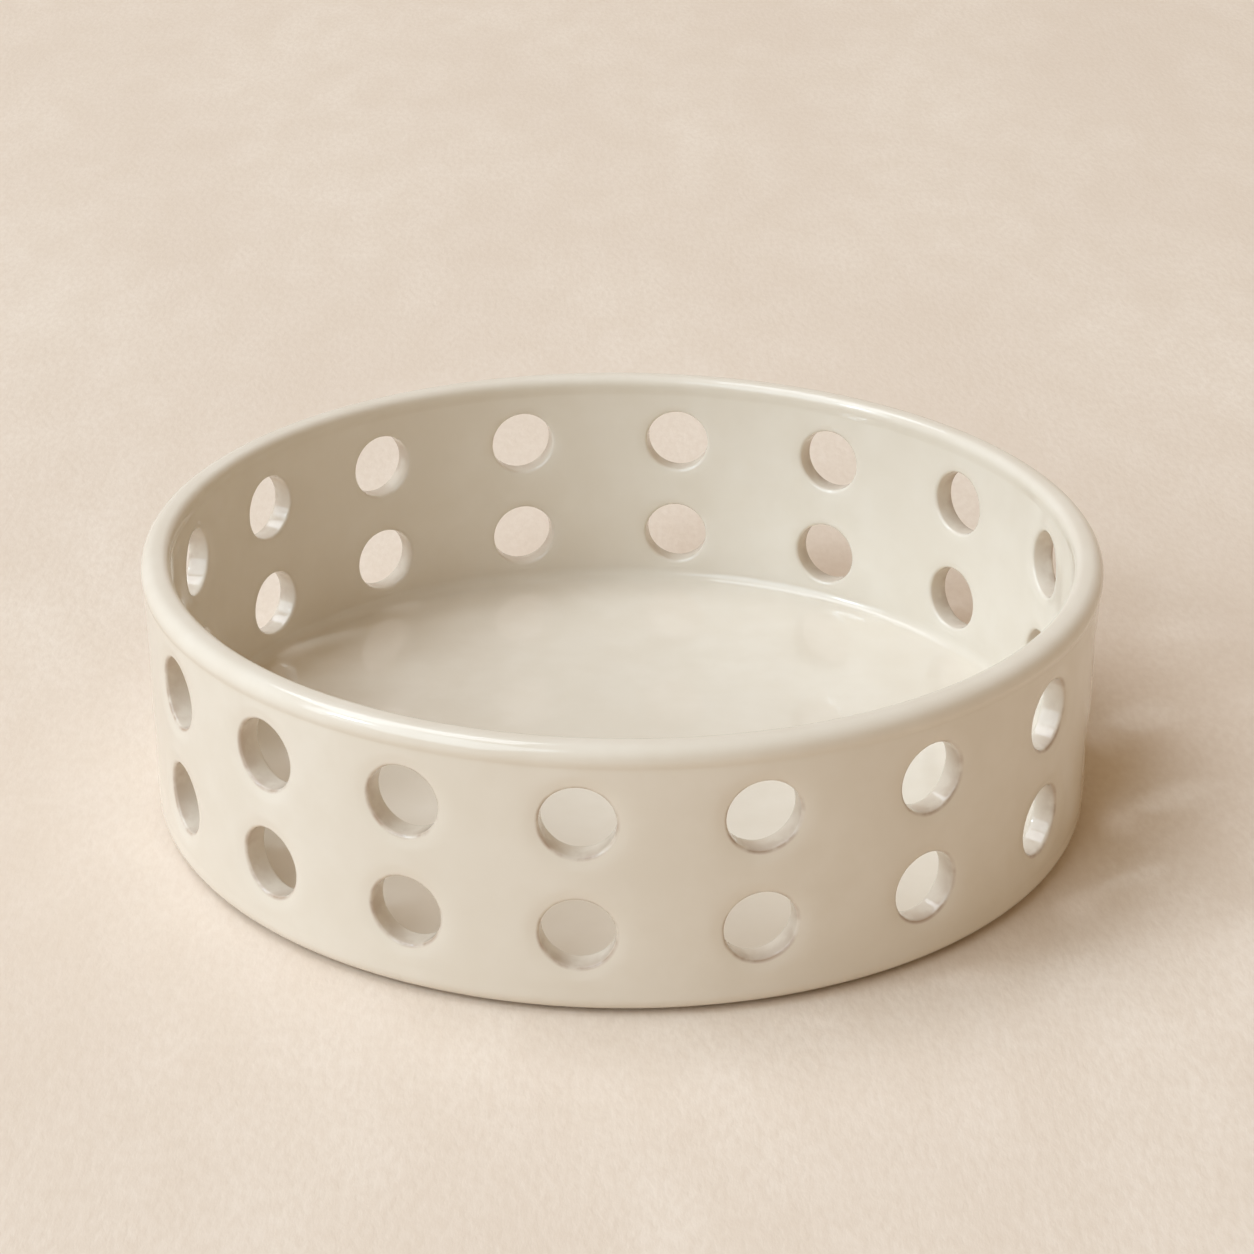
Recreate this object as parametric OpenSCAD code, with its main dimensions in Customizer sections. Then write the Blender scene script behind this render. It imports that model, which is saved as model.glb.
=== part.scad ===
// Pierced serving bowl: slab-built stoneware with a straight wall, two rows of round holes and a rolled rim.
// It is luted together from five pieces of clay and coated with a glossy glaze.
// Millimetres, +Z up. The origin is at the middle of the foot, on the table.

/* [Bowl] */
// Outside diameter over the glazed rim
bowl_d = 280; // [220:1:340]
// Height from the table to the top of the glazed rim
bowl_h = 80; // [72:1:110]
// Thickness of the clay wall
wall_t = 6.8; // [5.4:0.1:9]
// How far the wall's foot stands in from its top, on each side
wall_inset = 1; // [0.4:0.1:6]
// Thickness of the clay floor
floor_t = 7; // [5.6:0.1:10]
// Depth of the seat in the floor's edge that the wall stands in
seat_h = 1; // [0.4:0.1:1.2]
// Thickness of the glaze
glaze_t = 0.5; // [0.3:0.05:0.8]

/* [Rim] */
// How far the radius of the clay coil's outer edge falls short of a full half-round
rim_flat = 0.225; // [0.05:0.025:1.9]
// Radius of the clay coil's inner edge
rim_in_r = 1.8; // [1:0.1:2.6]
// How far the clay coil stands out from the wall on its outside
rim_proud_out = 0.4; // [0.3:0.1:1.6]
// How far the clay coil stands out from the wall on its inside
rim_proud_in = 0.3; // [0.1:0.1:1]

/* [Heel, foot and cove] */
// Radius of the rounded heel under the wall
heel_r = 4; // [2:0.1:4.2]
// Height of the foot ring
foot_h = 1.5; // [1:0.1:5]
// Width of the foot ring, from its inside to its outside
foot_w = 12; // [5:0.5:25]
// How far the foot ring stands in from the heel
foot_inset = 8; // [6:0.5:25]
// Bevel along the foot ring's lower edges
foot_bevel = 0.5; // [0.2:0.1:0.8]
// Bare band between the foot ring and the edge of the glaze
bare_band = 2; // [0.5:0.1:3]
// Radius of the cove between floor and wall
cove_r = 5.5; // [3:0.1:9]

/* [Holes] */
// Diameter of a glazed hole at its narrowest
hole_d = 20.5; // [10:0.5:24]
// Number of holes round the bowl
hole_columns = 17; // [8:1:20]
// Number of rows of holes, spread evenly up the wall
hole_rows = 2; // [1:1:2]
// Azimuth of the first column, from +X
first_angle = 206; // [0:1:360]
// How far the hand spacing of the columns drifts from even, in degrees
drift_angle = 5.4; // [0:0.1:6]
// Azimuth of the side where the columns stand furthest apart
wide_angle = 41; // [0:1:360]

/* [Hidden] */
$fn = 128;

clay_colour = "#c2a079";
glaze_colour = "#e6dac6";

// Radius of the clay coil's outer edge
rim_r = (wall_t + rim_proud_out + rim_proud_in) / 2 - rim_flat;

// Heights of the floor's top, the wall's seat, the centres of the rim's round edges and the seam under it
floor_top = foot_h + floor_t;
seat_z = floor_top - seat_h;
rim_z = bowl_h - glaze_t - rim_r;
rim_in_z = bowl_h - glaze_t - rim_in_r;
seam_z = rim_z - sqrt(rim_r ^ 2 - (rim_r - rim_proud_out) ^ 2);

// Radii of the wall's outside at the seam and at the seat, and of the centres of the rim's round edges
wall_top_x = bowl_d / 2 - glaze_t - rim_proud_out;
wall_foot_x = wall_top_x - wall_inset;
rim_out_x = bowl_d / 2 - glaze_t - rim_r;
rim_in_x = wall_top_x - wall_t - rim_proud_in + rim_in_r;
lean_angle = atan(wall_inset / (seam_z - seat_z));

// Radii of the foot ring and of the edge where the glaze stops
foot_out_x = wall_foot_x - foot_inset;
glaze_stop_x = foot_out_x + bare_band;

// The cove's arc meets floor and wall at this angle, from a centre that stands this far off both
cove_angle = 20;
cove_set = cove_r * cos(cove_angle);

// Holes: radius, how far a cutter stands out on both sides of the wall, and the height that a row takes up
hole_r = hole_d / 2;
cutter_spare = 3;
cutter_h = wall_t + 2 * (glaze_t + cutter_spare);
row_pitch = (seam_z - floor_top) / hole_rows;

// Radius of the clay wall's outside at a height
function wall_x(z) = wall_foot_x + wall_inset * (z - seat_z) / (seam_z - seat_z);

// Azimuth of a column: even steps, stretched on one side of the bowl and drawn in on the other
function even_azimuth(column) = first_angle + 360 * column / hole_columns;
function column_azimuth(column) =
    even_azimuth(column) + drift_angle * sin(even_azimuth(column) - wide_angle);

// Height of a row's centres
function row_z(row) = floor_top + (row + 0.5) * row_pitch;

// Section of the strip of the wall between two depths from the clay's outside, where the glaze is below zero
module wall_band(from, to) {
    polygon([
        [wall_foot_x - to, seat_z],
        [wall_foot_x - from, seat_z],
        [wall_top_x - from, seam_z],
        [wall_top_x - to, seam_z]
    ]);
}

// Section of the floor with its round heel, grown by a coat
module heel_section(grow = 0) {
    flat_x = wall_foot_x - heel_r;
    round_z = foot_h + heel_r;
    translate([0, foot_h - grow])
        square([flat_x, floor_t + grow]);
    translate([0, round_z])
        square([wall_foot_x + grow, floor_top - round_z]);
    intersection() {
        translate([flat_x, round_z])
            circle(heel_r + grow);
        square([bowl_d, round_z]);
    }
}

// Section of the clay floor, with the wall's seat cut into its edge
module floor_section() {
    difference() {
        heel_section();
        wall_band(0, wall_t);
    }
}

// Section of the cove in the corner of floor and wall, grown by a coat, with its back sunk into both
module cove_section(grow = 0, sunk = 0) {
    corner_z = floor_top + grow - sunk;
    centre_z = floor_top + cove_set;
    centre_x = wall_x(floor_top) - wall_t - cove_set;
    difference() {
        polygon([
            [wall_x(corner_z) - wall_t - grow + sunk, corner_z],
            [wall_x(centre_z) - wall_t - grow + sunk, centre_z],
            [centre_x, corner_z]
        ]);
        translate([centre_x, centre_z])
            circle(cove_r - grow);
    }
}

// Section of the rim's outer bead, grown by a coat
module bead_section(grow = 0) {
    translate([rim_out_x, rim_z])
        circle(rim_r + grow);
}

// Section of the whole rim above the seam, grown by a coat
module rim_section(grow = 0) {
    inner_x = wall_top_x - wall_t - grow;
    intersection() {
        union() {
            bead_section(grow);
            translate([rim_in_x, rim_in_z])
                circle(rim_in_r + grow);
            translate([rim_in_x, seam_z])
                square([rim_out_x - rim_in_x, rim_in_z + rim_in_r + grow - seam_z]);
            translate([inner_x, seam_z])
                square([rim_in_x - inner_x, rim_in_z - seam_z]);
        }
        translate([0, seam_z])
            square([bowl_d, bowl_h]);
    }
}

// Cutter for one hole, wider by a coat
module hole_cutter(grow = 0) {
    cylinder(h = cutter_h, r = hole_r + grow, center = true);
}

// Puts a copy of a piece at every hole, with its +Z square to the wall and outwards
module at_each_hole() {
    for (column = [0 : hole_columns - 1], row = [0 : hole_rows - 1])
        rotate([0, 0, column_azimuth(column)])
            translate([wall_x(row_z(row)) - wall_t / 2, 0, row_z(row)])
                rotate([0, 90 + lean_angle, 0])
                    children();
}

// A section turned round the axis, with the bores for the glazed holes
module pierced() {
    difference() {
        rotate_extrude()
            children();
        at_each_hole()
            hole_cutter(glaze_t);
    }
}

module floor_slab() {
    color(clay_colour)
        rotate_extrude()
            floor_section();
}

module foot_ring() {
    foot_in_x = foot_out_x - foot_w;
    color(clay_colour)
        rotate_extrude()
            polygon([
                [foot_in_x, foot_h],
                [foot_in_x, foot_bevel],
                [foot_in_x + foot_bevel, 0],
                [foot_out_x - foot_bevel, 0],
                [foot_out_x, foot_bevel],
                [foot_out_x, foot_h]
            ]);
}

module wall() {
    color(clay_colour)
        pierced()
            wall_band(0, wall_t);
}

module cove_coil() {
    color(clay_colour)
        rotate_extrude()
            cove_section();
}

module rim_coil() {
    color(clay_colour)
        rotate_extrude()
            rim_section();
}

module outside_glaze() {
    color(glaze_colour)
        pierced()
            difference() {
                union() {
                    wall_band(-glaze_t, 0);
                    intersection() {
                        bead_section(glaze_t);
                        translate([rim_out_x, 0])
                            square([bowl_d, seam_z]);
                    }
                    intersection() {
                        heel_section(glaze_t);
                        translate([glaze_stop_x, 0])
                            square([bowl_d, seat_z]);
                    }
                }
                floor_section();
                wall_band(0, wall_t);
            }
}

module inside_glaze() {
    color(glaze_colour)
        pierced()
            difference() {
                union() {
                    wall_band(wall_t, wall_t + glaze_t);
                    translate([0, floor_top])
                        square([wall_x(floor_top) - wall_t, glaze_t]);
                    cove_section(glaze_t, glaze_t / 2);
                }
                floor_section();
                cove_section(0, glaze_t);
            }
}

module rim_glaze() {
    color(glaze_colour)
        rotate_extrude()
            difference() {
                rim_section(glaze_t);
                rim_section();
            }
}

module hole_glaze() {
    color(glaze_colour)
        intersection() {
            rotate_extrude()
                wall_band(-glaze_t, wall_t + glaze_t);
            at_each_hole()
                difference() {
                    hole_cutter(glaze_t);
                    hole_cutter();
                }
        }
}

floor_slab();
foot_ring();
wall();
cove_coil();
rim_coil();
outside_glaze();
inside_glaze();
rim_glaze();
hole_glaze();
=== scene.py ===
# %% [markdown]
# # A pierced serving bowl in cream glaze
# The bowl is slab-built stoneware: a flat floor, a straight low wall with two rows of round holes, and a
# rolled rim. Its clay comes from the CAD model, and this lesson makes the skin of glaze that one sees.
# The CAD model is loaded first, so that every new piece can be put where the solids are.

# %% Load the CAD model
import bmesh
import bpy
from math import asin, atan2, cos, exp, hypot, pi, radians, sin
from mathutils import Matrix, Vector


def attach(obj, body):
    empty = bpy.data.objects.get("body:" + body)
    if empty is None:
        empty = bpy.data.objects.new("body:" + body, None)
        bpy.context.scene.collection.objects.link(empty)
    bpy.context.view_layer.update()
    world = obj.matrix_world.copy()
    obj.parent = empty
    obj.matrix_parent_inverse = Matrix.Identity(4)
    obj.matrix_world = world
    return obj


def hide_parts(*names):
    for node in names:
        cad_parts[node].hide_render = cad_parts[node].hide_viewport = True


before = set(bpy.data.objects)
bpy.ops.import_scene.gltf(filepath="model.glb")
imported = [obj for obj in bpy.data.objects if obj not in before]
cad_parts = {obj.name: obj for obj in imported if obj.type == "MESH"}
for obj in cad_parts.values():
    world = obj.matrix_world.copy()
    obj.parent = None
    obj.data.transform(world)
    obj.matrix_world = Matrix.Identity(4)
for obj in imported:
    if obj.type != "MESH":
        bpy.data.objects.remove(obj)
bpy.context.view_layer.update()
print("CAD nodes:", sorted(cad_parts))

# %% [markdown]
# ## Sizes
# All sizes are those of the finished bowl, with its glaze, in millimetres. They repeat the CAD model's own
# values, because the skin has to lie exactly on the solids. A mesh is built in millimetres, where the numbers
# are easy to read, and is scaled to metres at the end.

# %% Sizes of the finished bowl
MM = 0.001
WALL_FOOT_R = 138.6
WALL_INSET = 1.0
SEAT_Z = 7.5
SEAM_Z = 74.344
WALL_T = 7.8
FLOOR_Z = 9.0
HOLE_R = 10.25
ROW_Z = (24.961, 57.883)
COLUMNS = 17
FIRST_COLUMN, SPACING_DRIFT, WIDE_SIDE = 206, 5.4, 41
LEAN = WALL_INSET / (SEAM_Z - SEAT_Z)


def outside_r(z):
    """Radius of the wall's outside at a height."""
    return WALL_FOOT_R + LEAN * (z - SEAT_Z)


def column_angle(column):
    """Azimuth of a column of holes, spaced by hand: wider on one side of the bowl than on the other."""
    even = radians(FIRST_COLUMN + 360 * column / COLUMNS)
    return even + radians(SPACING_DRIFT) * sin(even - radians(WIDE_SIDE))


print("wall radius at foot and seam:", outside_r(SEAT_Z), outside_r(SEAM_Z))

# %% [markdown]
# ## One tile of the wall
# Cutting 34 holes with a Boolean leaves long thin faces, and those show as dents in a glossy glaze. So the
# wall is built from tiles: each has one hole in its middle, and rings of four-sided faces around it. The
# lining of the hole is spun from a few points, its two mouths are rounded with a bevel, and the ring of each
# mouth is extruded out to the rectangle that is the tile's border.

# %% Tile of the wall, still flat
RING_STEPS = 24
SIDE_STEPS, TOP_STEPS = 2, 4
NEAR = 0.001
LIP_OUT = 1.0
LIP_IN = 0.9
LIP_SEGMENTS = 4
LINING_GAP = 0.5
MOUTH_OUT = 12.3
MOUTH_IN = 11.7
ROW_BORDER = (ROW_Z[0] + ROW_Z[1]) / 2
WALL_LOW_OUT = 8.5
WALL_LOW_IN = 12.7
WALL_HIGH = 72.5
OUTSIDE, RIM, INSIDE, HOLES = 1, 2, 3, 4


def border_spot(step):
    """Place on a unit square of one of the steps round it, counted from the middle of its right side."""
    away = abs(step)
    half_round = RING_STEPS // 2
    x = min(max((half_round / 2 - away) / TOP_STEPS, -1), 1)
    y = min(min(away, half_round - away) / SIDE_STEPS, 1)
    return x, y if step > 0 else -y


def draw_to_border(bm, mouth, left, right, low, high):
    """Draws a mouth's ring out to the tile's border, and returns the lines between the two."""
    made = bmesh.ops.extrude_edge_only(bm, edges=mouth)["geom"]
    corners = {g for g in made if isinstance(g, bmesh.types.BMVert)}
    for vert in corners:
        x, y = border_spot(round(atan2(vert.co.y, vert.co.x) / (2 * pi) * RING_STEPS))
        vert.co.x = x * (right if x > 0 else left)
        vert.co.y = y * (high if y > 0 else low)
    return [e for e in {e for v in corners for e in v.link_edges} if not corners.issuperset(e.verts)]


def loop_at(bm, radius, depth):
    """Edges of the ring of this radius and depth around the hole's axis."""
    def on_ring(vert):
        return abs(hypot(vert.co.x, vert.co.y) - radius) < NEAR and abs(vert.co.z - depth) < NEAR
    return [e for e in bm.edges if on_ring(e.verts[0]) and on_ring(e.verts[1])]


def flat_tile(left, right, row):
    """One hole with its lining and both faces of the wall around it, flat, with the hole's axis along Z."""
    bm = bmesh.new()
    coat = bm.faces.layers.int.new("coat")
    section = [(MOUTH_OUT, 0), (HOLE_R, 0), (HOLE_R, -WALL_T), (MOUTH_IN, -WALL_T)]
    points = [bm.verts.new((x, 0, z)) for x, z in section]
    lines = [bm.edges.new(pair) for pair in zip(points, points[1:])]
    bmesh.ops.spin(bm, geom=points + lines, axis=(0, 0, 1), angle=2 * pi, steps=RING_STEPS, use_merge=True)
    for depth, lip in ((0, LIP_OUT), (-WALL_T, LIP_IN)):
        bmesh.ops.bevel(bm, geom=loop_at(bm, HOLE_R, depth), offset=lip, offset_type="OFFSET",
                        segments=LIP_SEGMENTS, profile=0.5, affect="EDGES", material=-1)
    bore = [e for e in bm.edges if abs(e.verts[0].co.z - e.verts[1].co.z) > WALL_T / 2]
    bmesh.ops.subdivide_edges(bm, edges=bore, cuts=3, use_grid_fill=True)
    for face in bm.faces:
        middle_z = face.calc_center_median().z
        straight = -WALL_T + LIP_IN + LINING_GAP < middle_z < -LIP_OUT - LINING_GAP
        outer_half = middle_z > -WALL_T / 2
        face[coat] = HOLES if straight else OUTSIDE if outer_half else INSIDE
    top = ROW_BORDER if row == 0 else WALL_HIGH
    for depth, mouth, side in ((0, MOUTH_OUT, OUTSIDE), (-WALL_T, MOUTH_IN, INSIDE)):
        lowest = WALL_LOW_OUT if side == OUTSIDE else WALL_LOW_IN
        bottom = ROW_BORDER if row == 1 else lowest
        radius = outside_r(ROW_BORDER) + depth
        lines = draw_to_border(bm, loop_at(bm, mouth, depth), radius * sin(left), radius * sin(right),
                               ROW_Z[row] - bottom, top - ROW_Z[row])
        bmesh.ops.subdivide_edges(bm, edges=lines, cuts=2, use_grid_fill=True)
    return bm


trial = flat_tile(pi / COLUMNS, pi / COLUMNS, 0)
print("flat tile:", len(trial.verts), "vertices,", len(trial.faces), "faces")
trial.free()

# %% [markdown]
# ## Wrapping the tiles round the bowl
# A real hole is bored straight through a curved wall, so a tile is bent sideways but its hole stays parallel.
# The potter softened each mouth with a wet sponge, and the glaze followed: the wall sinks a little towards
# every hole. That shallow dish is what gives the holes their soft halo, so it is part of the bend.
# Each vertex also keeps a number for how brown the glaze turns there. It runs thin off the sharp outer lips,
# most of all off their lower halves, and the clay shows through as a thin brown line. The brown fades down
# the bore, and there it is painted shade in the holes as well as thin glaze.

# %% Bend, dish, thin glaze and painted shade in the bores
NOMINAL_R = outside_r(ROW_BORDER)
DISH_OUT, DISH_OUT_REACH = 0.5, 4.2
DISH_IN, DISH_IN_REACH = 0.4, 2.6
THIN_MIDDLE, THIN_REACH = 0.41, 0.3
LIP_LEAST = 0.45
# Down the bore the brown is painted shade in the holes as well as thin glaze.
BORE_THIN_AND_SHADE, BORE_SPARE = 0.55, 0.1


def dish(distance, depth, reach):
    """How far the wall has sunk at a distance from a hole's axis."""
    t = min(max((distance - HOLE_R) / reach, 0), 1)
    return depth * (1 - t * t * (3 - 2 * t))


def sunk(w, distance):
    """Depth under the wall's outside, with the dishes of both mouths."""
    inner_share = -w / WALL_T
    outer_dish = dish(distance, DISH_OUT, DISH_OUT_REACH)
    inner_dish = dish(distance, DISH_IN, DISH_IN_REACH)
    return w - (1 - inner_share) * outer_dish + inner_share * inner_dish


def glaze_thinness_and_bore_shade(u, v, w):
    """How brown the glaze turns: on the outer lip, most on its lower half, and down the bore as painted
    shade.
    """
    distance = hypot(u, v)
    low = 0.5 - 0.5 * v / distance
    from_lip = (hypot(distance - HOLE_R, w) - THIN_MIDDLE) / THIN_REACH
    on_lip = exp(-from_lip ** 2) * (LIP_LEAST + (1 - LIP_LEAST) * low)
    # Painted shade down the bore, darkest near the outer mouth and fading to none at the inner mouth.
    bore_thin_and_shade = BORE_THIN_AND_SHADE * (1 + w / WALL_T) if distance < HOLE_R + BORE_SPARE else 0.0
    return max(on_lip, bore_thin_and_shade)


def wrap(bm, column, row):
    """Bends a flat tile round the bowl, at its own column and row."""
    # The number is thin glaze on the lips, and painted shade in the bores.
    thin_and_shade = bm.verts.layers.float.new("thin_and_shade")
    for vert in bm.verts:
        u, v, w = vert.co
        vert[thin_and_shade] = glaze_thinness_and_bore_shade(u, v, w)
        angle = column_angle(column) + asin(u / (NOMINAL_R + w))
        z = ROW_Z[row] + v - (w + WALL_T / 2) * LEAN
        r = outside_r(z) + sunk(w, hypot(u, v))
        vert.co = (r * cos(angle), r * sin(angle), z)


skin = bmesh.new()
for column in range(COLUMNS):
    here = column_angle(column)
    left = (here - column_angle(column - 1)) / 2
    right = (column_angle(column + 1) - here) / 2
    for row in range(len(ROW_Z)):
        tile = flat_tile(left, right, row)
        wrap(tile, column, row)
        tile_mesh = bpy.data.meshes.new("tile")
        tile.to_mesh(tile_mesh)
        skin.from_mesh(tile_mesh)
        tile.free()
        bpy.data.meshes.remove(tile_mesh)
bmesh.ops.remove_doubles(skin, verts=skin.verts, dist=NEAR)
print("wall of tiles:", len(skin.verts), "vertices,", len(skin.faces), "faces")

# %% [markdown]
# ## The clay wall under the glaze
# The CAD model's wall has sharp bores, and would show through the softened mouths. A clay wall with the same
# soft mouths takes its place: a copy of the tiles is pushed inwards by the thickness of the glaze, and its
# open top and bottom are drawn out to the seams and across, until they meet.

# %% Clay wall with soft mouths
GLAZE_T = 0.5
COAT_T = 0.4
SPARE = 0.1
NODE_SEAM = 0.05


def open_edges(bm, outer, high):
    """Edges of one of the four open borders of the wall."""
    middle_r = NOMINAL_R - WALL_T / 2
    edges = []
    for edge in bm.edges:
        co = edge.verts[0].co
        if edge.is_boundary and (co.xy.length > middle_r) == outer and (co.z > ROW_BORDER) == high:
            edges.append(edge)
    return edges


def give_to_coat(bm, faces, side):
    """Notes on faces which coat of glaze they belong to."""
    layer = bm.faces.layers.int["coat"]
    for face in faces:
        face[layer] = side


def draw_ring(bm, edges, r, z, side=0):
    """Draws an open border out to a ring of radius r at height z for one coat, and returns the new border."""
    made = bmesh.ops.extrude_edge_only(bm, edges=edges)["geom"]
    verts = {g for g in made if isinstance(g, bmesh.types.BMVert)}
    for vert in verts:
        way = vert.co.xy.normalized() * r
        vert.co = (way.x, way.y, z)
    give_to_coat(bm, [g for g in made if isinstance(g, bmesh.types.BMFace)], side)
    return [g for g in made if isinstance(g, bmesh.types.BMEdge) and verts.issuperset(g.verts)]


core = skin.copy()
bmesh.ops.recalc_face_normals(core, faces=core.faces)
core.normal_update()
for vert in core.verts:
    vert.co -= vert.normal * (GLAZE_T + SPARE)
for high, end_z in ((False, SEAT_Z + NODE_SEAM), (True, SEAM_Z - NODE_SEAM)):
    outer_r = outside_r(end_z) - GLAZE_T - SPARE
    inner_r = outside_r(end_z) - WALL_T + GLAZE_T + SPARE
    draw_ring(core, open_edges(core, False, high), inner_r, end_z)
    outer_ring = draw_ring(core, open_edges(core, True, high), outer_r, end_z)
    draw_ring(core, outer_ring, inner_r, end_z)
    end_verts = [v for v in core.verts if abs(v.co.z - end_z) < SPARE / 2]
    bmesh.ops.remove_doubles(core, verts=end_verts, dist=GLAZE_T)
bmesh.ops.recalc_face_normals(core, faces=core.faces)
print("clay wall:", len(core.faces), "faces, open edges:", sum(e.is_boundary for e in core.edges))

# %% [markdown]
# ## Rim, heel, cove and floor
# The rest of the skin is turned on the wheel, so its section is the same all round. It could be spun as a
# separate lathe piece, but then its seam with the wall would show. Drawing the wall's own open borders out,
# ring by ring, along the section keeps one continuous skin.

# %% Rings along the section
RIM_OUT_R = 4.025
RIM_OUT_C = (135.975, 75.975)
RIM_IN_R = 2.7
RIM_IN_C = (134.2, 77.3)
HEEL_R = 4.5
HEEL_C = (134.1, 5.5)
COVE_R = 3.6
COVE_C = (127.3, 12.6)
GLAZE_STOP_R = 132.1
COAT_SEAM_Z = 73.0
CREASE_OUT_Z = 73.8
CREASE_IN_Z = 74.6
ROLL_STEPS = 5
RING_JOIN = 0.01
FLOOR_RADII = (122, 114, 103, 90, 76, 62, 48, 34, 20, 8)


def inside_r(z):
    """Radius of the wall's inside at a height."""
    return outside_r(z) - WALL_T


def arc(centre, radius, start, end, steps):
    """Points of the section along an arc, with angles in degrees from the outward direction."""
    angles = [radians(start + (end - start) * i / steps) for i in range(steps + 1)]
    return [(centre[0] + radius * cos(a), centre[1] + radius * sin(a)) for a in angles]


def roll_into(wall_r, crease_z, bead_r, bead_z):
    """Section from the crease on the straight wall up to where the rolled rim is widest."""
    points = []
    for i in range(ROLL_STEPS + 1):
        t = i / ROLL_STEPS
        z = crease_z + t * (bead_z - crease_z)
        points.append((wall_r(z) + (bead_r - wall_r(z)) * sin(t * pi / 2), z))
    return points


rim_section = roll_into(outside_r, CREASE_OUT_Z, RIM_OUT_C[0] + RIM_OUT_R, RIM_OUT_C[1])
rim_section += arc(RIM_OUT_C, RIM_OUT_R, 15, 90, 5)
rim_section += arc(RIM_IN_C, RIM_IN_R, 90, 160, 4)
rim_section += reversed(roll_into(inside_r, CREASE_IN_Z, RIM_IN_C[0] - RIM_IN_R, RIM_IN_C[1]))
rim_section += [(inside_r(z), z) for z in (CREASE_OUT_Z, COAT_SEAM_Z)]
border = draw_ring(skin, open_edges(skin, True, True), outside_r(COAT_SEAM_Z), COAT_SEAM_Z, OUTSIDE)
for r, z in rim_section:
    border = draw_ring(skin, border, r, z, RIM)
inner_top_z = WALL_HIGH + WALL_T / 2 * LEAN
draw_ring(skin, border, inside_r(inner_top_z), inner_top_z, INSIDE)
bmesh.ops.remove_doubles(skin, verts=skin.verts, dist=RING_JOIN)

floor_section = arc(COVE_C, COVE_R, -8, -90, 6) + [(r, FLOOR_Z) for r in FLOOR_RADII]
border = open_edges(skin, False, False)
for r, z in floor_section:
    border = draw_ring(skin, border, r, z, INSIDE)
centre = bmesh.ops.extrude_edge_only(skin, edges=border)["geom"]
centre = [g for g in centre if isinstance(g, bmesh.types.BMVert)]
bmesh.ops.pointmerge(skin, verts=centre, merge_co=(0, 0, FLOOR_Z))

underside_z = HEEL_C[1] - HEEL_R
heel_section = [(WALL_FOOT_R, SEAT_Z)] + arc(HEEL_C, HEEL_R, 0, -90, 7)
heel_section += [((HEEL_C[0] + GLAZE_STOP_R) / 2, underside_z), (GLAZE_STOP_R, underside_z)]
border = open_edges(skin, True, False)
for r, z in heel_section:
    border = draw_ring(skin, border, r, z, OUTSIDE)
bmesh.ops.recalc_face_normals(skin, faces=skin.faces)
print("skin:", len(skin.faces), "faces, open edges:", sum(e.is_boundary for e in skin.edges))

# %% [markdown]
# ## Smoothing the skin
# One level of subdivision rounds the lips and the rim. It also draws the flat parts of the wall in by a few
# hundredths of a millimetre, unevenly where the rings of faces crowd together, and a glossy glaze shows that.
# So each vertex of the plain wall is put back on the wall's true cone afterwards.
# Glaze turns darker in the creases under the rim and in the corner of the floor: partly pooled glaze, partly
# painted shade. So those vertices get a second number, for how dark it turns there.

# %% Subdivide and seat on the true wall
LOW_SPARE_OUT, LOW_SPARE_IN, HIGH_SPARE, LIP_SPARE = 0.1, 0.2, 0.05, 0.2
SEATED_Z = (WALL_LOW_OUT + LOW_SPARE_OUT, CREASE_OUT_Z - HIGH_SPARE)
SEATED_Z_IN = (WALL_LOW_IN + LOW_SPARE_IN, CREASE_IN_Z - HIGH_SPARE)
CREASE_OUT = (139.6, 74.2)
CREASE_IN = (131.8, 75.2)
CORNER = (130.4, 9.6)
# Darker spots of the glaze: thicker glaze in the creases and the corner, and painted shade there as well.
POOL_AND_SHADE_SPOTS = ((CREASE_OUT, 0.9, 0.4), (CREASE_IN, 1.2, 0.2), (CORNER, 2.6, 0.6))
AZIMUTHS = [column_angle(column) for column in range(COLUMNS)]


def hole_distance(co, side):
    """Distance of a point of the wall from the axis of the nearest hole."""
    angle = atan2(co.y, co.x)
    gap = min(((angle - a + pi) % (2 * pi) - pi for a in AZIMUTHS), key=abs)
    u = (NOMINAL_R + side) * sin(gap)
    row = 0 if co.z < ROW_BORDER else 1
    return hypot(u, co.z - ROW_Z[row] + (side + WALL_T / 2) * LEAN)


def seat_on_wall(vert):
    """Puts a vertex of the plain wall back on its cone. Lips, rim, heel and floor are left as they are."""
    outer = vert.co.xy.length > NOMINAL_R - WALL_T / 2
    side = 0 if outer else -WALL_T
    low, high = SEATED_Z if outer else SEATED_Z_IN
    distance = hole_distance(vert.co, side)
    plain = HOLE_R + (LIP_OUT if outer else LIP_IN) + LIP_SPARE
    if low < vert.co.z < high and distance > plain:
        vert.co.xy = vert.co.xy.normalized() * (outside_r(vert.co.z) + sunk(side, distance))


def pool_and_shade_at(co):
    """Darkening in the creases under the rim and in the floor's corner: thicker glaze and painted shade."""
    r = co.xy.length
    return max(most * exp(-(hypot(r - at[0], co.z - at[1]) / reach) ** 2) for at, reach, most in POOL_AND_SHADE_SPOTS)


coarse_mesh = bpy.data.meshes.new("skin")
skin.to_mesh(coarse_mesh)
holder = bpy.data.objects.new("skin", coarse_mesh)
bpy.context.collection.objects.link(holder)
smooth = holder.modifiers.new("smooth", "SUBSURF")
smooth.levels = 1
smooth.render_levels = 1
fine = bmesh.new()
fine.from_object(holder, bpy.context.evaluated_depsgraph_get())
bpy.data.objects.remove(holder)
bpy.data.meshes.remove(coarse_mesh)
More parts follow.
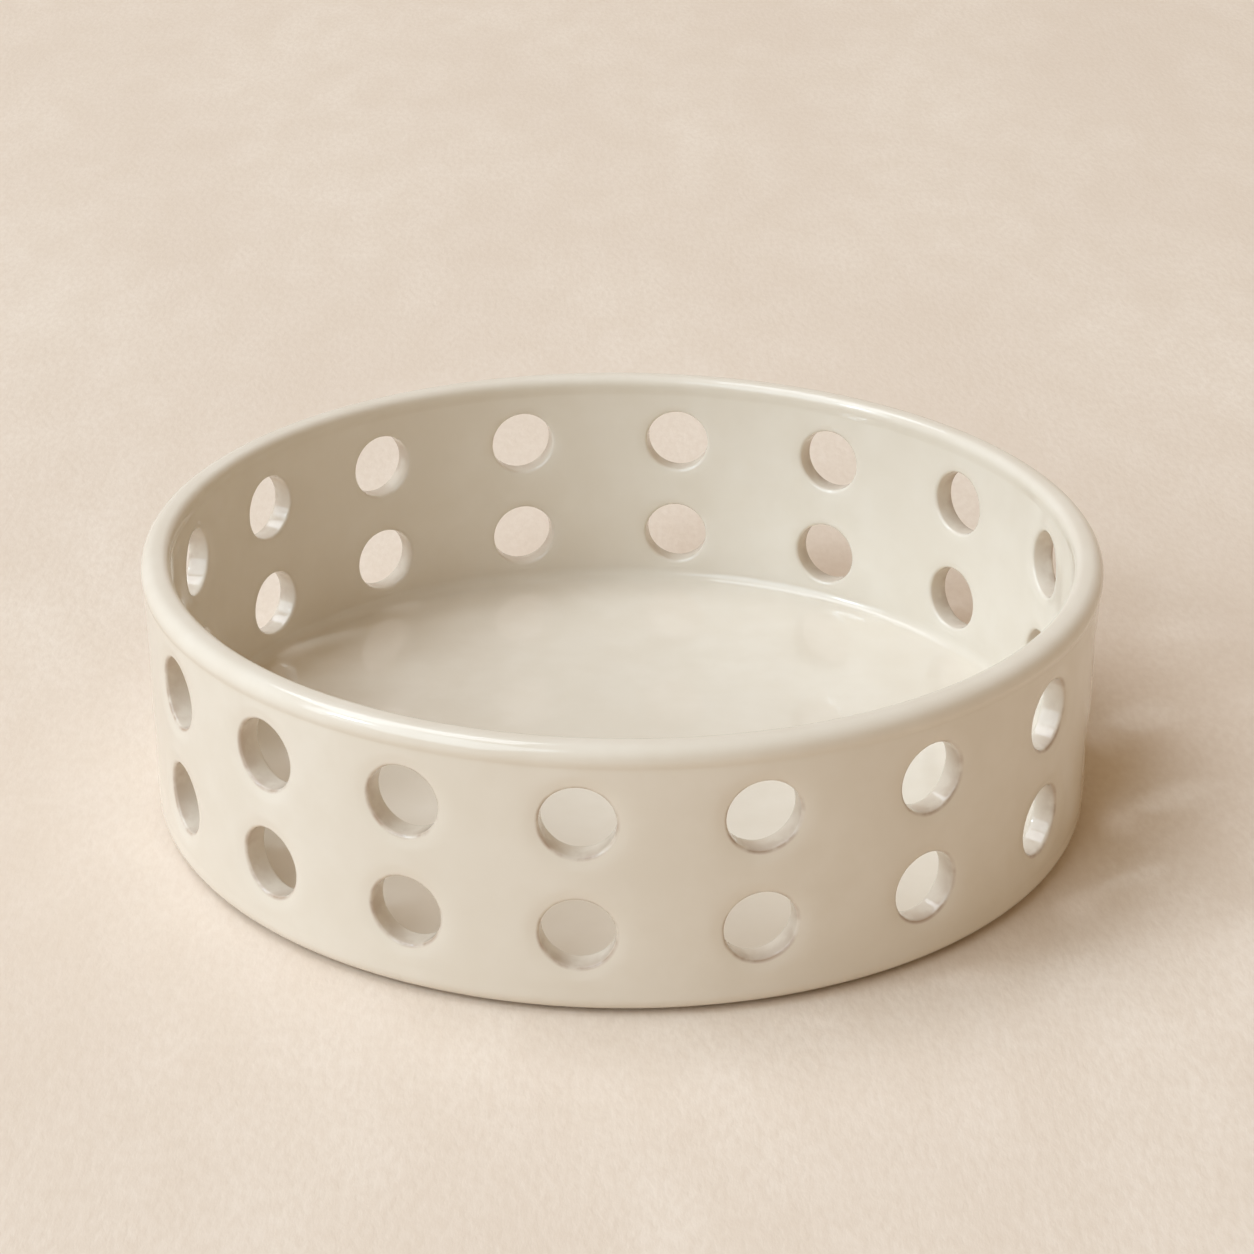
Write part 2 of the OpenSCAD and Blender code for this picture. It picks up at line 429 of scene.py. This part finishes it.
# The second number paints shade into the creases and the corner, along with the deeper tone of pooled glaze.
pool_and_shade = fine.verts.layers.float.new("pool_and_shade")
for vert in fine.verts:
    seat_on_wall(vert)
    vert[pool_and_shade] = pool_and_shade_at(vert.co)
coat_layer = fine.faces.layers.int["coat"]
print("fine skin:", len(fine.faces), "faces,",
      [sum(f[coat_layer] == side for f in fine.faces) for side in (OUTSIDE, RIM, INSIDE, HOLES)])

# %% [markdown]
# ## Effects that several finishes share
# Clouding is the slow change of tone that fired surfaces and paper both have. Specks are the small spots in
# clay, dark where they are iron and pale where they are grog. Each is a node group, so that it can be placed
# as often as needed, with its own scale.

# %% Node groups: clouding and specks
def link(tree, source, target):
    """Joins two sockets."""
    tree.links.new(source, target)


def new_group(name, inputs, output):
    """An empty node group with number or vector inputs and one number as its output."""
    group = bpy.data.node_groups.new(name, "ShaderNodeTree")
    for label, kind, value in inputs:
        socket = group.interface.new_socket(label, in_out="INPUT", socket_type=kind)
        if value is not None:
            socket.default_value = value
    group.interface.new_socket(output, in_out="OUTPUT", socket_type="NodeSocketFloat")
    return group, group.nodes.new("NodeGroupInput"), group.nodes.new("NodeGroupOutput")


def make_clouding():
    """Soft clouds from 0 to 1."""
    group, start, end = new_group("clouding", [("Vector", "NodeSocketVector", None),
                                               ("Scale", "NodeSocketFloat", 20.0)], "Cloud")
    noise = group.nodes.new("ShaderNodeTexNoise")
    noise.inputs["Detail"].default_value = 3.0
    noise.inputs["Roughness"].default_value = 0.55
    spread = group.nodes.new("ShaderNodeMapRange")
    spread.interpolation_type = "SMOOTHSTEP"
    spread.inputs["From Min"].default_value = 0.3
    spread.inputs["From Max"].default_value = 0.7
    link(group, start.outputs["Vector"], noise.inputs["Vector"])
    link(group, start.outputs["Scale"], noise.inputs["Scale"])
    link(group, noise.outputs["Fac"], spread.inputs["Value"])
    link(group, spread.outputs["Result"], end.inputs["Cloud"])
    return group


def make_specks():
    """Small round spots, where only some cells have one."""
    group, start, end = new_group("iron specks", [("Vector", "NodeSocketVector", None),
                                                  ("Scale", "NodeSocketFloat", 300.0),
                                                  ("Share", "NodeSocketFloat", 0.2)], "Speck")
    cells = group.nodes.new("ShaderNodeTexVoronoi")
    spot = group.nodes.new("ShaderNodeMapRange")
    spot.interpolation_type = "SMOOTHSTEP"
    spot.inputs["From Min"].default_value = 0.34
    spot.inputs["From Max"].default_value = 0.12
    tint = group.nodes.new("ShaderNodeSeparateColor")
    chosen = group.nodes.new("ShaderNodeMath")
    chosen.operation = "LESS_THAN"
    both = group.nodes.new("ShaderNodeMath")
    both.operation = "MULTIPLY"
    link(group, start.outputs["Vector"], cells.inputs["Vector"])
    link(group, start.outputs["Scale"], cells.inputs["Scale"])
    link(group, cells.outputs["Distance"], spot.inputs["Value"])
    link(group, cells.outputs["Color"], tint.inputs["Color"])
    link(group, tint.outputs["Red"], chosen.inputs[0])
    link(group, start.outputs["Share"], chosen.inputs[1])
    link(group, spot.outputs["Result"], both.inputs[0])
    link(group, chosen.outputs["Value"], both.inputs[1])
    link(group, both.outputs["Value"], end.inputs["Speck"])
    return group


CLOUDING = make_clouding()
SPECKS = make_specks()
print("node groups:", CLOUDING.name, "and", SPECKS.name)

# %% [markdown]
# ## Helpers for the finishes
# Every finish starts from the same few nodes: the place on the object, a Principled shader, and mixes of two
# tones by a mask. Small helpers keep the finishes short enough to read.

# %% Helpers for node trees
def srgb(red, green, blue):
    """A colour as seen on the screen, from 0 to 255, as the linear colour that shaders take."""
    def linear(value):
        value /= 255
        return value / 12.92 if value <= 0.04045 else ((value + 0.055) / 1.055) ** 2.4
    return (linear(red), linear(green), linear(blue), 1.0)


def start_finish(name):
    """A new material with its Principled shader and the place on the object."""
    material = bpy.data.materials.new(name)
    material.use_nodes = True
    tree = material.node_tree
    place = tree.nodes.new("ShaderNodeTexCoord").outputs["Object"]
    return material, tree, tree.nodes["Principled BSDF"], place


def use_group(tree, group, place, **values):
    """Places a shared effect with its own values, and returns its mask."""
    node = tree.nodes.new("ShaderNodeGroup")
    node.node_tree = group
    link(tree, place, node.inputs["Vector"])
    for label, value in values.items():
        node.inputs[label].default_value = value
    return node.outputs[0]


def plain_noise(tree, place, scale, detail):
    """A noise texture's value."""
    noise = tree.nodes.new("ShaderNodeTexNoise")
    noise.inputs["Scale"].default_value = scale
    noise.inputs["Detail"].default_value = detail
    link(tree, place, noise.inputs["Vector"])
    return noise.outputs["Fac"]


def remap(tree, value, low, high, to_low, to_high):
    """A value from one range, eased into another."""
    node = tree.nodes.new("ShaderNodeMapRange")
    node.interpolation_type = "SMOOTHSTEP"
    node.inputs["From Min"].default_value = low
    node.inputs["From Max"].default_value = high
    node.inputs["To Min"].default_value = to_low
    node.inputs["To Max"].default_value = to_high
    link(tree, value, node.inputs["Value"])
    return node.outputs["Result"]


def combine(tree, operation, first, second):
    """Two values joined by a math operation. The second may be a plain number."""
    node = tree.nodes.new("ShaderNodeMath")
    node.operation = operation
    link(tree, first, node.inputs[0])
    if isinstance(second, float):
        node.inputs[1].default_value = second
    else:
        link(tree, second, node.inputs[1])
    return node.outputs["Value"]


def blend_tone(tree, mask, under, over):
    """Lays one tone over another by a mask. A tone is a colour or another tone's socket."""
    node = tree.nodes.new("ShaderNodeMix")
    node.data_type = "RGBA"
    link(tree, mask, node.inputs["Factor"])
    for socket, tone in ((node.inputs[6], under), (node.inputs[7], over)):
        if isinstance(tone, tuple):
            socket.default_value = tone
        else:
            link(tree, tone, socket)
    return node.outputs[2]


def vertex_value(tree, name):
    """A number that the mesh keeps for each vertex."""
    node = tree.nodes.new("ShaderNodeAttribute")
    node.attribute_name = name
    return node.outputs["Fac"]


def raise_surface(tree, shader, height, depth):
    """Bumps a shader by a height, where 1 stands for a depth in metres."""
    bump = tree.nodes.new("ShaderNodeBump")
    bump.inputs["Distance"].default_value = depth
    link(tree, height, bump.inputs["Height"])
    link(tree, bump.outputs["Normal"], shader.inputs["Normal"])


print("cream as a linear colour:", [round(c, 3) for c in srgb(229, 220, 206)])

# %% [markdown]
# ## Cream glaze
# The glaze is a glossy, slightly uneven cream. It clouds between two close tones. It turns deeper in the
# creases under the rim and in the floor's corner, partly where it pools and partly as painted shade. It
# breaks to a mottled brown on the thin lips of the holes, and the brown carries on down the bores as painted
# shade. Its surface is never quite flat, so a slow wave and a finer ripple bend the reflections. The gloss
# comes from a low roughness, which the same clouds vary.

# %% Cream glaze
CREAM, CREAM_PALE, CREAM_WARM = srgb(229, 220, 206), srgb(234, 226, 213), srgb(225, 215, 199)
# The deeper tone is pooled glaze and painted shade in the creases and corner. The brown is thin glaze on the
# lips, and painted shade in the bores as well.
POOLED_AND_SHADED_TONE, BROKEN_AND_SHADED_TONE = srgb(200, 186, 160), srgb(146, 104, 68)
GLAZE_WAVE = 0.0001
GLAZE_IOR = 1.52


def make_cream_glaze():
    """Glossy warm cream, deeper in creases and brown on the lips and bores: glaze and painted shade."""
    material, tree, shader, place = start_finish("cream_glaze")
    slow = use_group(tree, CLOUDING, place, Scale=16.0)
    fine_cloud = use_group(tree, CLOUDING, place, Scale=70.0)
    tone = blend_tone(tree, slow, CREAM, CREAM_PALE)
    tone = blend_tone(tree, combine(tree, "MULTIPLY", fine_cloud, 0.4), tone, CREAM_WARM)
    # Painted shade in the creases under the rim and in the floor's corner, mixed with the deeper tone of
    # pooled glaze.
    pool_and_shade_mask = combine(tree, "MULTIPLY", vertex_value(tree, "pool_and_shade"), 0.25)
    tone = blend_tone(tree, pool_and_shade_mask, tone, POOLED_AND_SHADED_TONE)
    # Brown of thin glaze on the lips, and painted shade down the bores.
    patch = remap(tree, plain_noise(tree, place, 180.0, 3.0), 0.35, 0.62, 0.2, 0.7)
    broken_and_shaded = combine(tree, "MULTIPLY", patch, vertex_value(tree, "thin_and_shade"))
    tone = blend_tone(tree, broken_and_shaded, tone, BROKEN_AND_SHADED_TONE)
    link(tree, tone, shader.inputs["Base Color"])
    gloss = remap(tree, fine_cloud, 0.0, 1.0, 0.06, 0.1)
    dryness = combine(tree, "MULTIPLY", vertex_value(tree, "thin_and_shade"), 0.06)
    link(tree, combine(tree, "ADD", gloss, dryness), shader.inputs["Roughness"])
    wave = plain_noise(tree, place, 24.0, 1.0)
    ripple = combine(tree, "MULTIPLY", plain_noise(tree, place, 150.0, 2.0), 0.05)
    raise_surface(tree, shader, combine(tree, "ADD", wave, ripple), GLAZE_WAVE)
    shader.inputs["IOR"].default_value = GLAZE_IOR
    return material


cream_glaze = make_cream_glaze()
print("glaze nodes:", len(cream_glaze.node_tree.nodes))

# %% [markdown]
# ## Bare stoneware
# The clay shows only under the bowl, on the foot and inside its ring. Fired stoneware is a matt buff with
# dark iron specks and pale grog, and the tool that trimmed the foot left fine rings round the middle.

# %% Bare stoneware
BUFF_DARK, BUFF_PALE = srgb(187, 154, 118), srgb(203, 172, 136)
GROG_TONE, IRON_TONE = srgb(222, 198, 166), srgb(104, 72, 50)
CLAY_GRAIN = 0.0002
CLAY_NODES = ("floor_slab", "foot_ring", "cove_coil", "rim_coil", "wall")


def make_stoneware():
    """Matt buff clay with specks, grog and trimming rings."""
    material, tree, shader, place = start_finish("stoneware")
    slow = use_group(tree, CLOUDING, place, Scale=30.0)
    tone = blend_tone(tree, slow, BUFF_DARK, BUFF_PALE)
    grog = use_group(tree, SPECKS, place, Scale=420.0, Share=0.3)
    tone = blend_tone(tree, combine(tree, "MULTIPLY", grog, 0.35), tone, GROG_TONE)
    iron = use_group(tree, SPECKS, place, Scale=330.0, Share=0.18)
    tone = blend_tone(tree, combine(tree, "MULTIPLY", iron, 0.6), tone, IRON_TONE)
    link(tree, tone, shader.inputs["Base Color"])
    rings = tree.nodes.new("ShaderNodeTexWave")
    rings.wave_type = "RINGS"
    rings.rings_direction = "Z"
    rings.inputs["Scale"].default_value = 110.0
    rings.inputs["Distortion"].default_value = 1.6
    rings.inputs["Detail"].default_value = 2.0
    link(tree, place, rings.inputs["Vector"])
    grain = plain_noise(tree, place, 900.0, 3.0)
    height = combine(tree, "ADD", combine(tree, "MULTIPLY", rings.outputs["Fac"], 0.6), grain)
    raise_surface(tree, shader, height, CLAY_GRAIN)
    link(tree, remap(tree, grain, 0.3, 0.7, 0.78, 0.92), shader.inputs["Roughness"])
    return material


stoneware = make_stoneware()
for name in CLAY_NODES:
    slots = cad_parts[name].data.materials
    slots.clear()
    slots.append(stoneware)
print("clay nodes with stoneware:", len(CLAY_NODES), "shader nodes:", len(stoneware.node_tree.nodes))

# %% [markdown]
# ## Peeling the skin into coats
# The CAD model has four coats of glaze, so the skin is cut into the same four pieces. The cuts run where the
# surface is straight, so that no line shows. A coat gets its thickness from a Solidify modifier, inwards,
# and its cut edges are marked sharp, so that the gloss runs on across the seam.

# %% Coats of glaze and the clay wall
def place_piece(name, bm, material, node):
    """Makes an object of a bmesh in millimetres that stands for a CAD node."""
    bmesh.ops.scale(bm, vec=(MM, MM, MM), verts=bm.verts)
    for face in bm.faces:
        face.smooth = True
    mesh = bpy.data.meshes.new(name)
    bm.to_mesh(mesh)
    bm.free()
    mesh.materials.append(material)
    piece = bpy.data.objects.new(name, mesh)
    bpy.context.collection.objects.link(piece)
    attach(piece, "root")
    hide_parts(node)
    return piece


def peel_coat(name, side, node):
    """Cuts one coat out of the skin and gives it its thickness."""
    bm = fine.copy()
    layer = bm.faces.layers.int["coat"]
    bmesh.ops.delete(bm, geom=[f for f in bm.faces if f[layer] != side], context="FACES")
    for edge in bm.edges:
        edge.smooth = not edge.is_boundary
    piece = place_piece(name, bm, cream_glaze, node)
    shell = piece.modifiers.new("thickness", "SOLIDIFY")
    shell.thickness = COAT_T * MM
    shell.offset = -1.0
    print(name, "has", len(piece.data.polygons), "faces")
    return piece


peel_coat("outside_coat", OUTSIDE, "outside_glaze")
peel_coat("rim_coat", RIM, "rim_glaze")
peel_coat("inside_coat", INSIDE, "inside_glaze")
peel_coat("hole_linings", HOLES, "hole_glaze")
place_piece("clay_wall", core, stoneware, "wall")

# %% [markdown]
# ## Fading into the backdrop
# Lamps light only the ground round the bowl evenly, so further out it fades into one plain tone. A backdrop
# sheet could do that as well, but it would stand in the way of some views. Light Path tells rays apart, so
# the plain tone is shown to the camera and to reflections only, and adds no light to the bowl.

# %% Plain tone of the backdrop
BACKDROP = srgb(226, 211, 194)
FADE_START, FADE_END = 1.1, 1.8


def seen_directly(tree):
    """A mask that is 1 for what the camera, a mirror or glass sees, and 0 for light that falls on things."""
    path = tree.nodes.new("ShaderNodeLightPath")
    seen = combine(tree, "ADD", path.outputs["Is Camera Ray"], path.outputs["Is Glossy Ray"])
    return combine(tree, "MAXIMUM", seen, path.outputs["Is Transmission Ray"])


def mix_shaders(tree, mask, under, over, output):
    """Lays one shader over another by a mask, as the tree's surface."""
    node = tree.nodes.new("ShaderNodeMixShader")
    link(tree, mask, node.inputs[0])
    link(tree, under, node.inputs[1])
    link(tree, over, node.inputs[2])
    link(tree, node.outputs[0], tree.nodes[output].inputs["Surface"])


def fade_out(tree, shader, place):
    """Fades the ground into the plain tone of the backdrop, far from the bowl."""
    away = tree.nodes.new("ShaderNodeVectorMath")
    away.operation = "LENGTH"
    link(tree, place, away.inputs[0])
    far = remap(tree, away.outputs["Value"], FADE_START, FADE_END, 0.0, 1.0)
    plain = tree.nodes.new("ShaderNodeEmission")
    plain.inputs["Color"].default_value = BACKDROP
    mask = combine(tree, "MULTIPLY", far, seen_directly(tree))
    mix_shaders(tree, mask, shader.outputs["BSDF"], plain.outputs["Emission"], "Material Output")


print("backdrop as a linear colour:", [round(c, 3) for c in BACKDROP])

# %% [markdown]
# ## Ground
# The bowl stands on warm beige paper that fills the picture. The ground is one large plane with the same
# clouding as the clay, but much fainter, and a fine matt grain. Bump is enough for the grain, because the
# paper is only seen from afar.

# %% Ground
PAPER_DARK, PAPER_PALE = srgb(235, 220, 205), srgb(242, 229, 215)
BLOTCH_TONE, FIBRE_TONE = srgb(231, 215, 198), srgb(227, 210, 193)
PAPER_GRAIN = 0.0002
GROUND_REACH = 20.0


def make_ground_paper():
    """Warm beige matt paper with faint clouds."""
    material, tree, shader, place = start_finish("ground_paper")
    fade_out(tree, shader, place)
    stretch = tree.nodes.new("ShaderNodeMapping")
    stretch.inputs["Scale"].default_value = (1.0, 0.45, 1.0)
    link(tree, place, stretch.inputs["Vector"])
    place = stretch.outputs["Vector"]
    slow = use_group(tree, CLOUDING, place, Scale=9.0)
    tone = blend_tone(tree, slow, PAPER_DARK, PAPER_PALE)
    blotch = use_group(tree, CLOUDING, place, Scale=50.0)
    tone = blend_tone(tree, combine(tree, "MULTIPLY", blotch, 0.45), tone, BLOTCH_TONE)
    fibre = use_group(tree, CLOUDING, place, Scale=420.0)
    tone = blend_tone(tree, combine(tree, "MULTIPLY", fibre, 0.4), tone, FIBRE_TONE)
    link(tree, tone, shader.inputs["Base Color"])
    shader.inputs["Roughness"].default_value = 0.9
    shader.inputs["Specular IOR Level"].default_value = 0.2
    raise_surface(tree, shader, plain_noise(tree, place, 420.0, 3.0), PAPER_GRAIN)
    return material


ground_bm = bmesh.new()
bmesh.ops.create_grid(ground_bm, x_segments=2, y_segments=2, size=GROUND_REACH)
ground_mesh = bpy.data.meshes.new("ground")
ground_bm.to_mesh(ground_mesh)
ground_bm.free()
ground_mesh.materials.append(make_ground_paper())
ground = bpy.data.objects.new("ground", ground_mesh)
bpy.context.collection.objects.link(ground)
print("ground:", [round(s, 2) for s in ground.dimensions])

# %% [markdown]
# ## Light
# A soft lamp high up on the left gives the shade inside the left of the bowl, and a wide one like a window,
# at the front left, gives the bright left wall and the soft shadow on the right. A small third lamp adds
# little light, but its sharp reflection shows on the rim and the lips. A warm, even world light fills the
# rest, and the camera sees the plain backdrop tone in its place.

# %% Light
LAMP_AIM = Vector((0, 0, 0.04))
WINDOW_TINT, KEY_TINT = (0.72, 0.87, 1.0), (0.82, 0.9, 1.0)
FILL_TINT, FILL_STRENGTH = (1.0, 0.74, 0.45, 1.0), 0.345


def soft_lamp(name, place, size, power, tint):
    """A square area lamp that looks at the bowl."""
    lamp = bpy.data.lights.new(name, "AREA")
    lamp.shape = "SQUARE"
    lamp.size = size
    lamp.energy = power
    lamp.color = tint
    holder = bpy.data.objects.new(name, lamp)
    holder.location = place
    aim = LAMP_AIM - holder.location
    holder.rotation_euler = aim.to_track_quat("-Z", "Y").to_euler()
    bpy.context.collection.objects.link(holder)


soft_lamp("key", (-3.75, 1.22, 8.13), 5.0, 348.0, KEY_TINT)
soft_lamp("front window", (-5.74, -4.48, 5.33), 8.0, 572.0, WINDOW_TINT)
soft_lamp("sparkle", (-6.93, -2.52, 5.2), 1.2, 105.0, WINDOW_TINT)
world = bpy.data.worlds.new("soft fill")
world.use_nodes = True
sky = world.node_tree
fill = sky.nodes["Background"]
fill.inputs["Color"].default_value = FILL_TINT
fill.inputs["Strength"].default_value = FILL_STRENGTH
plain = sky.nodes.new("ShaderNodeBackground")
plain.inputs["Color"].default_value = BACKDROP
mix_shaders(sky, seen_directly(sky), fill.outputs["Background"], plain.outputs["Background"],
            "World Output")
bpy.context.scene.world = world
bpy.context.scene.view_settings.view_transform = "Standard"

# %% [markdown]
# ## Camera
# The camera looks down at the bowl by 25 degrees, as in the photo. Its place and lens were fitted to the
# centres of the holes and to the outlines of rim and foot.

# %% Camera
FRAME_PX = 1254
FOCAL_PX = 3140.8
SENSOR_MM = 36.0
CAMERA_DISTANCE = 0.9323
CAMERA_DOWN = radians(24.707)
CAMERA_ROLL = radians(0.413)
CAMERA_AIM = Vector((0.00146, 0.0, 0.04971))

lens = bpy.data.cameras.new("photo camera")
lens.sensor_width = SENSOR_MM
lens.lens = FOCAL_PX / FRAME_PX * SENSOR_MM
camera = bpy.data.objects.new("photo camera", lens)
eye = CAMERA_AIM + CAMERA_DISTANCE * Vector((0, -cos(CAMERA_DOWN), sin(CAMERA_DOWN)))
tilt = Matrix.Rotation(pi / 2 - CAMERA_DOWN, 4, "X")
roll = Matrix.Rotation(CAMERA_ROLL, 4, "Z")
camera.matrix_world = Matrix.Translation(eye) @ tilt @ roll
bpy.context.collection.objects.link(camera)
bpy.context.scene.camera = camera
print("lens:", round(lens.lens, 2), "mm, eye at", [round(c, 3) for c in eye])
